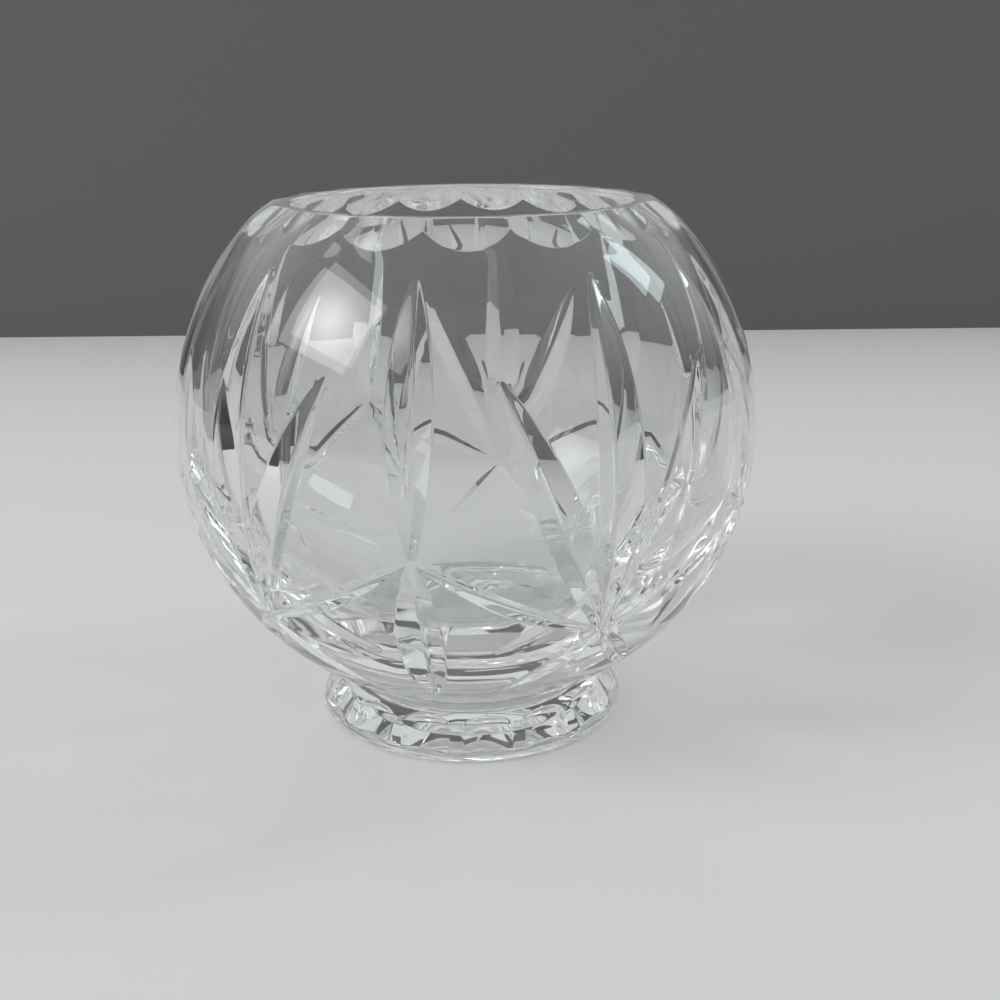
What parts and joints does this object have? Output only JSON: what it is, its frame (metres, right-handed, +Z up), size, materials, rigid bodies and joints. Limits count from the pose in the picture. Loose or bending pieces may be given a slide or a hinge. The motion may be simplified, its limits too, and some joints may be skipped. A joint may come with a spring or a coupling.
{
  "type": "rose bowl vase",
  "caption": "Round footed vase of clear cut crystal with a wide mouth: fans of leaf-shaped mitre cuts on the bowl, a scalloped rim and a fluted foot.",
  "frame": {"origin": "centre of the foot's resting face, at the lowest point of the vase", "axes": "+Z up along the axis of the vase, -Y towards the pictured side"},
  "size_m": [0.1269, 0.127, 0.1149],
  "materials": {
    "crystal": "polished clear cut crystal"
  },
  "bodies": {
    "root": {"bowl": "crystal", "foot": "crystal"}
  },
  "joints": []
}
